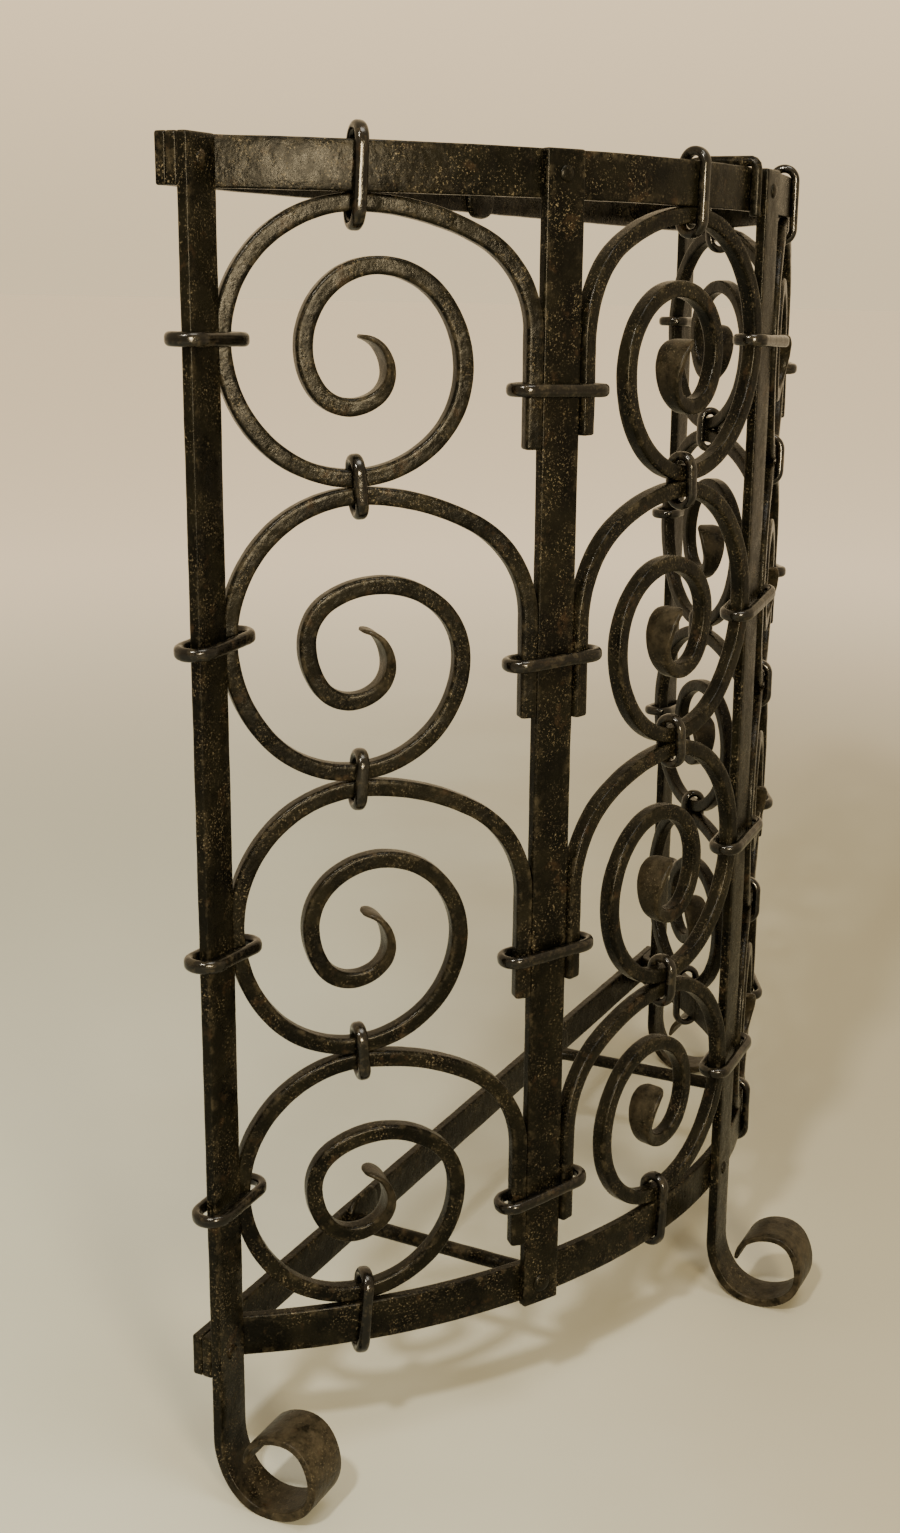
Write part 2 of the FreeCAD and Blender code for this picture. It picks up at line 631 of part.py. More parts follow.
# ---- put it all together -----------------------------------------------------
def build_pieces():
    pieces = {}
    post_names = ["post_left_end", "post_left_inner", "post_centre", "post_right_inner", "post_right_end"]
    for index, name in enumerate(post_names):
        pieces[name] = make_post(index)
        pieces["collars_" + name] = post_collars(index)
    left_post, left_out, left_along = post_frame(1)
    right_back, right_in, right_along = rail_back_frame(BRACE_RIGHT_X)
    right_out = right_in * -1
    right_spot = right_back + right_out * BAR_THICK
    pieces["rail_curved_top"] = curved_rail(TOP_RAIL_BOTTOM, [])
    pieces["rail_curved_bottom"] = curved_rail(RAIL_BOTTOM, [(right_spot, right_out)])
    pieces["bar_back_top"] = back_bar(TOP_RAIL_BOTTOM)
    pieces["bar_back_bottom"] = back_bar(RAIL_BOTTOM)
    for bay in range(4):
        for row in range(ROWS):
            pieces["scroll_bay%d_%s" % (bay + 1, ROW_NAMES[row])] = make_scroll(bay, row)
        pieces["collars_bay%d" % (bay + 1)] = bay_collars(bay)
    pieces["rivets_top"] = rail_rivets(TOP_RIVET_Z, (0, 1, 2, 3, 4))
    pieces["rivets_bottom"] = rail_rivets(BOTTOM_RIVET_Z, (0, 2, 3, 4))
    level = UP * BOTTOM_RIVET_Z
    pieces["brace_bottom_left"] = bottom_brace(
        BRACE_LEFT_X, LEFT_PALM_RISE, left_post + level, left_out, 2 * BAR_THICK)
    pieces["brace_bottom_right"] = bottom_brace(
        BRACE_RIGHT_X, RIGHT_PALM_RISE, right_spot + level, right_out, BAR_THICK)
    pieces["brace_top"] = top_brace()
    return pieces


def main():
    os.makedirs("parts", exist_ok=True)
    pieces = build_pieces()
    whole = Part.Compound(list(pieces.values())).optimalBoundingBox(True, False)
    shift = Vector(-(whole.XMin + whole.XMax) / 2, -(whole.YMin + whole.YMax) / 2, 0)
    for name, shape in pieces.items():
        moved = shape.copy()
        moved.translate(shift)
        moved.exportStep("parts/%s.step" % name)
    print("shift", shift, "size", whole.XLength, whole.YLength, whole.ZLength, "low", whole.ZMin)


main()
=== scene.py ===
import math

import bpy
from mathutils import Matrix, Vector, noise


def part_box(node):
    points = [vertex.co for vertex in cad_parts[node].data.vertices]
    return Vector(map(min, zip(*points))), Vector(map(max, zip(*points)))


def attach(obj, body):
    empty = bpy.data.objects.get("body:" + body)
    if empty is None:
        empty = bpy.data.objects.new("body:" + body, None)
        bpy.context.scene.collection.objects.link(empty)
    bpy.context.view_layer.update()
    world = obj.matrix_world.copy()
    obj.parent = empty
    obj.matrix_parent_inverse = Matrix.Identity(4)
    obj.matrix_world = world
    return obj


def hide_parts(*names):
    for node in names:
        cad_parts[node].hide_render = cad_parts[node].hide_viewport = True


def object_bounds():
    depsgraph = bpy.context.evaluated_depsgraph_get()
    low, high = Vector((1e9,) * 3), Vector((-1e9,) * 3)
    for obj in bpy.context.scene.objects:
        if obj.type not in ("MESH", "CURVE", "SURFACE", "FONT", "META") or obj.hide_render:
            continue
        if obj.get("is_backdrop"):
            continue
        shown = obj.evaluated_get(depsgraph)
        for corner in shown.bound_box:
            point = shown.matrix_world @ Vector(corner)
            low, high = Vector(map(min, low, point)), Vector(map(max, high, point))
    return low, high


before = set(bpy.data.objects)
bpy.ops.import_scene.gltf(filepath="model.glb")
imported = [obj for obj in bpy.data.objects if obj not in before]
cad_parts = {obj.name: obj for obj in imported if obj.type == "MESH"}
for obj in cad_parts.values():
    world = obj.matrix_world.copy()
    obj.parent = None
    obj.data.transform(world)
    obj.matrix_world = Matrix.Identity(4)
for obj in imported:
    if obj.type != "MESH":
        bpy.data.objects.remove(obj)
CAD_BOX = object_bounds()

# Bowed wrought-iron fireplace screen. Metres, in the row frame: -Y is the front of the bow, Z is up.
# Every piece is swept again along the line of its CAD solid, with forged edges and hammered faces.

UP = Vector((0, 0, 1))
RIGHT = Vector((1, 0, 0))
FRONT = Vector((0, -1, 0))

# ---- layout, read from the frame ---------------------------------------------
BACK_LOW, BACK_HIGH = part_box("bar_back_top")
BAR_WIDTH = BACK_HIGH[2] - BACK_LOW[2]
BAR_THICK = BACK_HIGH[1] - BACK_LOW[1]
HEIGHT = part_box("post_left_end")[1][2]
RAIL_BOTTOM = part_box("bar_back_bottom")[0][2]
RAIL_TOP = RAIL_BOTTOM + BAR_WIDTH
TOP_RAIL_BOTTOM = BACK_LOW[2]
BAR_END_X = BACK_HIGH[0]
END_POST_X = BAR_END_X - BAR_WIDTH / 2
CHORD_FRONT_Y = BACK_LOW[1]
FACE_Y = CHORD_FRONT_Y - 2 * BAR_THICK          # front face of the end posts
BOW_RADIUS = 0.405                              # front face of the curved rails
BOW_CENTRE = Vector((0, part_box("rail_curved_top")[0][1] + BOW_RADIUS, 0))
INNER_POST_ANGLE = math.radians(29)
KNEE_RADIUS = BAR_THICK
TOP_RIVET_Z = HEIGHT - BAR_WIDTH / 2
BOTTOM_RIVET_Z = RAIL_BOTTOM + BAR_WIDTH / 2
ROWS = 4
ROW_NAMES = ["top", "upper", "lower", "bottom"]
POST_NAMES = ["post_left_end", "post_left_inner", "post_centre", "post_right_inner", "post_right_end"]
PITCH = (TOP_RAIL_BOTTOM - RAIL_TOP) / ROWS

# ---- stock and forging -------------------------------------------------------
SCROLL_BAR = 0.0095
COLLAR_TALL = 0.0074        # oval rod of the collars, along the bars it ties
COLLAR_THICK = 0.0054
COLLAR_CORNER = 0.0027
COLLAR_FIT = 0.0020         # how far a bundle's end reaches into a collar's round end
BRACE_DIA = 0.0095          # bottom braces
TOP_BRACE_DIA = 0.0064
BAY_COLLAR_SHARE = 0.42     # where the bay's upright collars sit, from the round side
END_ROUND = 0.0014          # rounding at the cut end of a bar
BAR_CORNER = 0.0011         # worn corners of the flat bars
SCROLL_CORNER = 0.0017
PLAY = 0.0004               # between a scroll and the post beside it
STUB = 0.001                # how far the two footless posts reach below the bottom rail
LINE_STEP = 0.001           # between the points of a drawn middle line
BLOW_SCALE = 45.0           # hammer blows, about two centimetres apart
GRAIN_SCALE = 170.0
GRAIN_SHARE = 0.35          # how deep the finer grain is, against the blows
EASE_ANGLES = (0, 22, 45, 68)   # sections through the rounding of a cut end, in degrees
LEAST_SHRINK = 0.05         # of a section at the very end of a bar
LOOK_STEPS = 0.6            # how far each way a bar's direction is read, in steps,
LOOK_MOST = 0.2             # but never more than this share of the bar

# Middle line of a scroll: share of the bay from the round side, share of the height.
SCROLL_TURNS = [
    (1.000, 0.535),
    (0.425, 1.000),
    (0.000, 0.505),
    (0.402, 0.000),
    (0.768, 0.405),
    (0.490, 0.729),
    (0.251, 0.480),
    (0.395, 0.263),
    (0.520, 0.390),
    (0.425, 0.522),
]
SECOND_TOP = 5              # place of the second turn's top in that list
LEAF_TURNS = 2              # quarter turns at the end of a scroll that make up its leaf
# Bent by eye, one list per bay: rise of each meeting of two scrolls above its even place,
JOINT_RISE = [(0.0085, 0.0055, 0.001), (0.001, -0.002, -0.003),
              (0.0, 0.002, -0.001), (0.003, 0.001, 0.002)]
# rise of the second turn's top above its usual place,
SECOND_TOP_RISE = [(0.007, -0.007, -0.001, -0.007), (-0.001, -0.003, 0.0015, 0.003),
                   (0.002, -0.002, 0.003, 0.0), (0.0, 0.003, -0.003, 0.001)]
# and height of the tail's cut end above the scroll's underside.
TAIL_GAPS = [(0.018, 0.029, 0.022, 0.019), (0.032, 0.033, 0.031, 0.026),
             (0.022, 0.026, 0.020, 0.024), (0.028, 0.024, 0.030, 0.025)]
LEAF_SECTIONS = [           # share of the leaf, thickness in the panel, width across the panel
    (0.00, 0.0095, 0.0095),
    (0.25, 0.0080, 0.0110),
    (0.45, 0.0062, 0.0150),
    (0.62, 0.0048, 0.0195),
    (0.78, 0.0037, 0.0215),
    (0.89, 0.0030, 0.0200),
    (0.96, 0.0025, 0.0150),
    (0.99, 0.0021, 0.0090),
    (1.00, 0.0018, 0.0050),
]

# Dust is at its fullest this far into a leaf or a foot, as one part in so many of the whole bar.
LEAF_DUST = 12
FOOT_DUST = 14

# Foot: outwards from the post's front face, then up from the floor, on its middle line.
FOOT_START = 0.042
FOOT_TURNS = [(0.029, 0.0026), (0.0615, 0.030), (0.0425, 0.0555), (0.017, 0.034)]
FOOT_SECTIONS = [           # share of the curl, thickness, width
    (0.00, 0.00635, 0.0254),
    (0.30, 0.0059, 0.0270),
    (0.60, 0.0050, 0.0310),
    (0.90, 0.0038, 0.0340),
    (1.00, 0.0026, 0.0320),
]

# ---- collars, rivets and braces ----------------------------------------------
OUTER_COLLAR_DROP = [-0.006, -0.0085, 0.0065, -0.002]
INNER_COLLAR_DROP = [0.021, 0.0125, 0.0305, 0.029]
CENTRE_COLLAR_DROP = [-0.0025, 0.005, 0.0045, 0.006]
# Degrees that each post's collars lean, from the top down: closed by hand, none is quite level.
POST_COLLAR_TILT = [(-1, 4, -2, 2), (-1, 2, 2, 6), (-2, 9, 5, 4), (2, -3, 4, 3), (-2, 3, -4, 2)]
BAY_COLLAR_TILT = [(-3, 5, -4, 4, -5), (-2, 3, 4, -3, -4), (2, -4, 3, -2, 3), (-3, 2, -2, 4, -3)]
RIVET_HEAD = 0.0045         # radius
RIVET_RISE = 0.0016
BRACE_HEAD_SIZE = 1.35      # a brace's riveted end, against an ordinary rivet head
BRACE_LEFT_X = -0.190
BRACE_RIGHT_X = 0.132
BRACE_TOP_X = -0.024
LEFT_PALM_RISE = 0.0038
RIGHT_PALM_RISE = -0.0027
BRACE_NECK = 0.007
SHOULDER_SUNK = 0.0004      # how far a brace's shoulder presses into the bar
PALM_LONG = 0.036
PALM_TALL = 0.029
PALM_THICK = 0.0036
PALM_OFFSET = 0.012
TOP_PALM_OFFSET = 0.006
TOP_PALM_DROP = 0.002
TOP_ROD_RISE = 0.001
ROD_SPREAD = 1.1            # how much wider a brace rod grows where it meets its palm,
ROD_THINNING = 0.35         # how much thinner,
SPREAD_LONG = 0.022         # and over what length.
SPREAD_CURVE = 1.6          # above 1, the extra width falls away quickly at first
ROD_CORNER = 0.48           # of the thickness: nearly half, so that the rod is round
PALM_ROOT = 0.6             # how deep the rod starts in its palm, of the palm's thickness
BOTTOM_BEND = 0.012         # radii of the bends of the braces
CLIMB_BEND = 0.045
TOP_PLAY = 0.0003
HOOK_BEND = 0.004
HOOK_DROP = 0.003
CLIMB_LONG = 0.026
CLIMB_BEFORE = 0.020


# ---- small geometry helpers --------------------------------------------------
def blend_rows(rows, share):
    """Values of a table of (share, a, b, ...) rows at a share, evenly between rows."""
    for here, after in zip(rows, rows[1:]):
        if share <= after[0]:
            break
    part = min(max((share - here[0]) / (after[0] - here[0]), 0.0), 1.0)
    return [a + (b - a) * part for a, b in zip(here[1:], after[1:])]


def arc_points(start, corner, end, step):
    """Points of the arc that leaves start towards corner and arrives at end from it."""
    half_chord = (end - start).length / 2
    weight = half_chord / (corner - start).length
    count = max(3, math.ceil(2 * half_chord / step))
    points = []
    for index in range(count):
        t = index / count
        a = (1 - t) ** 2
        b = 2 * weight * t * (1 - t)
        c = t ** 2
        points.append((start * a + corner * b + end * c) / (a + b + c))
    return points


def quarter_points(start, corner, end, step):
    """Two arcs that turn through a right angle, like a quarter of an oval."""
    a = (corner - start).length
    b = (end - corner).length
    reach = (math.sqrt((a + b) ** 2 + 2 * (a * a + b * b)) - (a + b)) / 2
    first = start + (corner - start) * (reach / a)
    second = end + (corner - end) * (reach / b)
    join = (first + second) / 2
    return arc_points(start, first, join, step) + arc_points(join, second, end, step)


def turn_points(spots, at, step):
    """Points through a list of plane spots, each quarter starting square to the one before."""
    points = []
    for index in range(len(spots) - 1):
        start = spots[index]
        end = spots[index + 1]
        corner = (start[0], end[1]) if index % 2 == 0 else (end[0], start[1])
        points += quarter_points(at(start), at(corner), at(end), step)
    points.append(at(spots[-1]))
    return points


def bent_line(corners, radii, step):
    """Points of straight runs joined by round bends."""
    points = [corners[0]]
    for before, corner, after, radius in zip(corners, corners[1:], corners[2:], radii):
        way_in = (before - corner).normalized()
        way_out = (after - corner).normalized()
        half_angle = way_in.angle(way_out) / 2
        setback = radius / math.tan(half_angle)
        start = corner + way_in * setback
        end = corner + way_out * setback
        points += arc_points(start, corner, end, step)
        points.append(end)
    points.append(corners[-1])
    return points


class Run:
    """A line of points that can be read by distance."""

    def __init__(self, points):
        self.points = [points[0]]
        self.marks = [0.0]
        for point in points[1:]:
            gap = (point - self.points[-1]).length
            if gap > 1e-7:
                self.points.append(point)
                self.marks.append(self.marks[-1] + gap)
        self.length = self.marks[-1]

    def at(self, distance):
        low = 0
        high = len(self.marks) - 1
        while high - low > 1:
            middle = (low + high) // 2
            if self.marks[middle] <= distance:
                low = middle
            else:
                high = middle
        part = (distance - self.marks[low]) / (self.marks[high] - self.marks[low])
        return self.points[low].lerp(self.points[high], part)


def section_ring(wide, thick, corner, flats, rounds):
    """Rounded rectangle as (u, v, normal u, normal v, edge wear) rows, going round once."""
    corner = min(corner, 0.499 * wide, 0.499 * thick)
    a = wide / 2 - corner
    b = thick / 2 - corner
    rows = []
    centres = [(a, b, 0), (-a, b, 1), (-a, -b, 2), (a, -b, 3)]
    for index, (cu, cv, quarter) in enumerate(centres):
        for step in range(rounds + 1):
            angle = (quarter + step / rounds) * math.pi / 2
            nu = math.cos(angle)
            nv = math.sin(angle)
            rows.append((cu + corner * nu, cv + corner * nv, nu, nv, 1.0))
        next_u, next_v, next_quarter = centres[(index + 1) % 4]
        nu = math.cos(next_quarter * math.pi / 2)
        nv = math.sin(next_quarter * math.pi / 2)
        count = flats[index % 2]
        for step in range(1, count):
            part = step / count
            u = cu + (next_u - cu) * part + corner * nu
            v = cv + (next_v - cv) * part + corner * nv
            rows.append((u, v, nu, nv, 0.0))
    return rows


def dent(point, seed, depth):
    """Height of the hammered surface at a point: broad soft blows and a finer grain."""
    shifted = point + Vector((seed * 1.7, seed * 0.9, seed * 2.3))
    broad = noise.noise(shifted * BLOW_SCALE)
    fine = noise.noise(shifted * GRAIN_SCALE)
    return depth * (broad + GRAIN_SHARE * fine)


def finish_mesh(name, verts, faces, wear, dust, nodes, material):
    """Mesh object with its wear and dust, standing for its CAD nodes on the one rigid body."""
    mesh = bpy.data.meshes.new(name)
    mesh.from_pydata(verts, [], faces)
    mesh.polygons.foreach_set("use_smooth", [True] * len(mesh.polygons))
    for layer_name, values in (("wear", wear), ("dust", dust)):
        layer = mesh.attributes.new(layer_name, "FLOAT", "POINT")
        layer.data.foreach_set("value", values)
    mesh.materials.append(material)
    mesh.update()
    piece = bpy.data.objects.new(name, mesh)
    bpy.context.collection.objects.link(piece)
    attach(piece, "root")
    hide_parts(*nodes)


class Sweeper:
    """Collects swept bars into one mesh."""

    def __init__(self):
        self.verts = []
        self.faces = []
        self.wear = []
        self.dust = []

    def bar(self, points, side_axis, section, flats=(5, 5), rounds=3, step=0.0018,
            closed=False, seed=0.0, depth=0.00012, end_round=END_ROUND, dusty=None):
        """Sweeps section(share) -> (wide, thick, corner) along points. Wide lies along side_axis."""
        run = Run(points)
        count = max(8, math.ceil(run.length / step))
        marks = [run.length * index / count for index in range(count + (0 if closed else 1))]
        if not closed:
            ease = [end_round * (1 - math.cos(math.radians(a))) for a in EASE_ANGLES]
            inner = [m for m in marks if end_round < m < run.length - end_round]
            marks = ease + [end_round] + inner
            marks += [run.length - end_round] + [run.length - e for e in reversed(ease)]
        side = side_axis.normalized()
        first = len(self.verts)
        ring_size = 0
        for mark in marks:
            reach = min(step * LOOK_STEPS, run.length * LOOK_MOST)
            if closed:
                before = run.at((mark - reach) % run.length)
                after = run.at((mark + reach) % run.length)
            else:
                before = run.at(max(mark - reach, 0.0))
                after = run.at(min(mark + reach, run.length))
            tangent = (after - before).normalized()
            side = (side - tangent * side.dot(tangent)).normalized()
            across = tangent.cross(side)
            centre = run.at(mark)
            wide, thick, corner = section(mark / run.length)
            inset = 0.0
            if not closed:
                gap = end_round - min(mark, run.length - mark)
                if gap > 0:
                    inset = end_round - math.sqrt(max(end_round ** 2 - gap ** 2, 0.0))
            rows = section_ring(wide, thick, corner, flats, rounds)
            ring_size = len(rows)
            shrink_u = max(1 - 2 * inset / wide, LEAST_SHRINK)
            shrink_v = max(1 - 2 * inset / thick, LEAST_SHRINK)
            for u, v, nu, nv, edge in rows:
                spot = centre + side * (u * shrink_u) + across * (v * shrink_v)
                push = dent(spot, seed, depth)
                spot = spot + (side * nu + across * nv) * push
                self.verts.append(spot)
                self.wear.append(max(edge, 1.0 if inset > 0 else 0.0))
                self.dust.append(dusty(mark / run.length) if dusty else 0.0)
        rings = len(marks)
        links = rings if closed else rings - 1
        for ring in range(links):
            here = first + ring * ring_size
            after = first + ((ring + 1) % rings) * ring_size
            for k in range(ring_size):
                k2 = (k + 1) % ring_size
                self.faces.append((here + k, here + k2, after + k2, after + k))
        if not closed:
            self.faces.append(tuple(first + k for k in reversed(range(ring_size))))
            last = first + (rings - 1) * ring_size
            self.faces.append(tuple(last + k for k in range(ring_size)))

    def finish(self, name, nodes, material):
        finish_mesh(name, self.verts, self.faces, self.wear, self.dust, nodes, material)


# ---- frames of posts and bays ------------------------------------------------
def post_frame(index):
    """Middle of a post's front face, its outward direction and its left-to-right direction."""
    if index in (0, 4):
        side = -1 if index == 0 else 1
        return Vector((side * END_POST_X, FACE_Y, 0)), FRONT.copy(), RIGHT.copy()
    angle = (index - 2) * INNER_POST_ANGLE
    outward = Vector((math.sin(angle), -math.cos(angle), 0))
    along = Vector((math.cos(angle), math.sin(angle), 0))
    return BOW_CENTRE + outward * (BOW_RADIUS + BAR_THICK), outward, along


def bay_frame(bay):
    """Middle lines of the bar at the bay's round side and tail, and the bay's outward way."""
    left_centre, left_out, left_along = post_frame(bay)
    right_centre, right_out, right_along = post_frame(bay + 1)
    left = left_centre - left_out * (BAR_THICK / 2) + left_along * (BAR_WIDTH / 2)
    right = right_centre - right_out * (BAR_THICK / 2) - right_along * (BAR_WIDTH / 2)
    left += left_along * (SCROLL_BAR / 2 + PLAY)
    right -= right_along * (SCROLL_BAR / 2 + PLAY)
    across = (right - left).normalized()
    outward = Vector((across.y, -across.x, 0))
    if bay in (0, 2):
        return left, right, outward
    return right, left, outward


# ---- materials ---------------------------------------------------------------
DUST = (0.034, 0.028, 0.018)    # what settles on leaves and feet
TAN = (0.100, 0.084, 0.054)     # bare spots where the black has rubbed off
RUST = (0.014, 0.009, 0.005)
RUST_STRENGTH = 0.7
EDGE_STRENGTH = 0.13
DUST_ROUGHNESS = 0.25           # added where dust lies
COAT_ROUGHNESS = 0.16


def iron(name, black, brown, rough_low, rough_high, bare, gloss, coat):
    """Blackened, waxed iron: mottled dark metal, tan speckle, rust, and edges rubbed lighter."""
    material = bpy.data.materials.new(name)
    material.use_nodes = True
    tree = material.node_tree
    nodes = tree.nodes
    link = tree.links.new
    shader = nodes["Principled BSDF"]
    place = nodes.new("ShaderNodeTexCoord")

    def clouds(scale, detail, roughness):
        texture = nodes.new("ShaderNodeTexNoise")
        texture.inputs["Scale"].default_value = scale
        texture.inputs["Detail"].default_value = detail
        texture.inputs["Roughness"].default_value = roughness
        link(place.outputs["Object"], texture.inputs["Vector"])
        return texture.outputs["Fac"]

    def ramp(value, low, high, start=0.0, end=1.0):
        node = nodes.new("ShaderNodeMapRange")
        node.inputs["From Min"].default_value = low
        node.inputs["From Max"].default_value = high
        node.inputs["To Min"].default_value = start
        node.inputs["To Max"].default_value = end
        link(value, node.inputs["Value"])
        return node.outputs["Result"]

    def mix(factor, first, second):
        node = nodes.new("ShaderNodeMix")
        node.data_type = "RGBA"
        link(factor, node.inputs["Factor"])
        for socket, value in ((node.inputs[6], first), (node.inputs[7], second)):
            if isinstance(value, tuple):
                socket.default_value = (*value, 1.0)
            else:
                link(value, socket)
        return node.outputs[2]

    def combine(operation, first, second):
        node = nodes.new("ShaderNodeMath")
        node.operation = operation
        for socket, value in zip(node.inputs, (first, second)):
            if isinstance(value, float):
                socket.default_value = value
            else:
                link(value, socket)
        return node.outputs[0]

    def painted(layer_name):
        node = nodes.new("ShaderNodeAttribute")
        node.attribute_name = layer_name
        return node.outputs["Fac"]

    mottle = ramp(clouds(scale=38.0, detail=5.0, roughness=0.62), low=0.40, high=0.66)
    colour = mix(mottle, black, brown)
    rust_noise = ramp(clouds(scale=64.0, detail=4.0, roughness=0.7), low=0.60, high=0.70)
    rust_spots = combine("MULTIPLY", rust_noise, RUST_STRENGTH)
    colour = mix(rust_spots, colour, RUST)
    speckle = ramp(clouds(scale=760.0, detail=3.0, roughness=0.75), low=0.58, high=0.66)
    speckled = ramp(clouds(scale=46.0, detail=4.0, roughness=0.65), low=0.44, high=0.62, start=0.05)
    rubbed = combine("MULTIPLY", combine("MULTIPLY", speckle, speckled), bare)
    colour = mix(rubbed, colour, TAN)
    edge_noise = ramp(clouds(scale=150.0, detail=4.0, roughness=0.72), low=0.50, high=0.66)
    edges = combine("MULTIPLY", combine("MULTIPLY", painted("wear"), edge_noise), EDGE_STRENGTH)
    colour = mix(edges, colour, TAN)
    dust_noise = clouds(scale=90.0, detail=5.0, roughness=0.7)
    dusty = combine("MULTIPLY", painted("dust"), ramp(dust_noise, 0.38, 0.64, start=0.05, end=0.70))
    colour = mix(dusty, colour, DUST)
    link(colour, shader.inputs["Base Color"])

    rough_noise = clouds(scale=130.0, detail=5.0, roughness=0.7)
    rough = ramp(rough_noise, 0.32, 0.68, start=rough_low, end=rough_high)
    rough = combine("ADD", rough, combine("MULTIPLY", dusty, DUST_ROUGHNESS))
    link(rough, shader.inputs["Roughness"])

    hammered = nodes.new("ShaderNodeBump")
    hammered.inputs["Strength"].default_value = 0.45
    hammered.inputs["Distance"].default_value = 0.0012
    link(clouds(scale=105.0, detail=3.0, roughness=0.55), hammered.inputs["Height"])
    pitted = nodes.new("ShaderNodeBump")
    pitted.inputs["Strength"].default_value = 0.35
    pitted.inputs["Distance"].default_value = 0.0004
    link(clouds(scale=520.0, detail=6.0, roughness=0.7), pitted.inputs["Height"])
    link(hammered.outputs["Normal"], pitted.inputs["Normal"])
    link(pitted.outputs["Normal"], shader.inputs["Normal"])

    shader.inputs["Specular IOR Level"].default_value = gloss
    shader.inputs["Coat Weight"].default_value = coat
    shader.inputs["Coat Roughness"].default_value = COAT_ROUGHNESS
    return material


BAR_IRON = iron("bar_iron", black=(0.0007, 0.0007, 0.0004), brown=(0.0036, 0.0033, 0.0018),
                rough_low=0.20, rough_high=0.38, bare=0.85, gloss=0.072, coat=0.0)
SCROLL_IRON = iron("scroll_iron", black=(0.0008, 0.0008, 0.0005), brown=(0.0042, 0.0038, 0.0021),
                   rough_low=0.16, rough_high=0.34, bare=0.60, gloss=0.072, coat=0.0)
COLLAR_IRON = iron("collar_iron", black=(0.0006, 0.0006, 0.0005), brown=(0.0020, 0.0018, 0.0012),
                   rough_low=0.10, rough_high=0.20, bare=0.15, gloss=0.14, coat=0.22)


# ---- posts -------------------------------------------------------------------
def make_post(index):
    centre, outward, along = post_frame(index)
    middle = centre - outward * (BAR_THICK / 2)
    top = middle + UP * HEIGHT
    sweeper = Sweeper()
    if index % 2 == 1:
        leg_share = 1.0
        points = [top, middle + UP * (RAIL_BOTTOM - STUB)]

        def section(share):
            return BAR_WIDTH, BAR_THICK, BAR_CORNER
    else:
        spots = [(-BAR_THICK / 2, FOOT_START)] + FOOT_TURNS

        def at(spot):
            return centre + outward * spot[0] + UP * spot[1]

        curl = turn_points(spots, at, LINE_STEP)
        curl_length = Run(curl).length
        leg_share = (HEIGHT - FOOT_START) / (HEIGHT - FOOT_START + curl_length)
        points = [top] + curl

        def section(share):
            curl_share = max(share - leg_share, 0.0) / (1 - leg_share)
            thick, wide = blend_rows(FOOT_SECTIONS, curl_share)
            return wide, thick, BAR_CORNER

    sweeper.bar(points, along, section, flats=(4, 9), step=0.003, seed=1.0 + index, depth=0.00020,
                dusty=lambda share: min(max(share - leg_share, 0.0) * FOOT_DUST, 1.0))
    sweeper.finish(POST_NAMES[index] + "_forged", [POST_NAMES[index]], BAR_IRON)


# ---- rails -------------------------------------------------------------------
def bow_points(step):
    """Middle line of a curved rail, flanges and knees included, from left to right."""
    radius = BOW_RADIUS - BAR_THICK / 2
    flange_y = FACE_Y + 1.5 * BAR_THICK
    knee_centre_y = flange_y - KNEE_RADIUS
    rise = BOW_CENTRE.y - knee_centre_y
    knee_x = math.sqrt((radius + KNEE_RADIUS) ** 2 - rise ** 2)
    sweep = math.atan2(knee_x, rise)
    count = math.ceil(2 * sweep * radius / step)
    bow = []
    for index in range(count + 1):
        angle = -sweep + 2 * sweep * index / count
        bow.append(BOW_CENTRE + Vector((math.sin(angle), -math.cos(angle), 0)) * radius)
    knee_centre = Vector((knee_x, knee_centre_y, 0))
    knee_steps = 12
    angle = math.atan2(bow[-1].y - knee_centre_y, bow[-1].x - knee_x)
    knee = []
    for index in range(1, knee_steps + 1):
        turned = angle + (math.pi / 2 - angle) * index / knee_steps
        knee.append(knee_centre + Vector((math.cos(turned), math.sin(turned), 0)) * KNEE_RADIUS)
    right = knee + [Vector((BAR_END_X, flange_y, 0))]
    left = [Vector((-p.x, p.y, 0)) for p in reversed(right)]
    return left + bow + right


def make_curved_rail(name, low, seed):
    points = [p + UP * (low + BAR_WIDTH / 2) for p in bow_points(0.002)]
    sweeper = Sweeper()
    sweeper.bar(points, UP, lambda share: (BAR_WIDTH, BAR_THICK, BAR_CORNER), flats=(4, 9), step=0.003,
                seed=seed, depth=0.00018)
    sweeper.finish(name + "_forged", [name], BAR_IRON)


def make_back_bar(name, low, seed):
    y = CHORD_FRONT_Y + BAR_THICK / 2
    z = low + BAR_WIDTH / 2
    points = [Vector((-BAR_END_X, y, z)), Vector((BAR_END_X, y, z))]
    sweeper = Sweeper()
    sweeper.bar(points, UP, lambda share: (BAR_WIDTH, BAR_THICK, BAR_CORNER), flats=(4, 9), step=0.003,
                seed=seed, depth=0.00018)
    sweeper.finish(name + "_forged", [name], BAR_IRON)


# ---- scrolls -----------------------------------------------------------------
def joint_level(bay, joint):
    """Height where a scroll meets the one above it. 0 is the top rail, ROWS the bottom rail."""
    level = TOP_RAIL_BOTTOM - joint * PITCH
    if 0 < joint < ROWS:
        level += JOINT_RISE[bay][joint - 1]
    return level


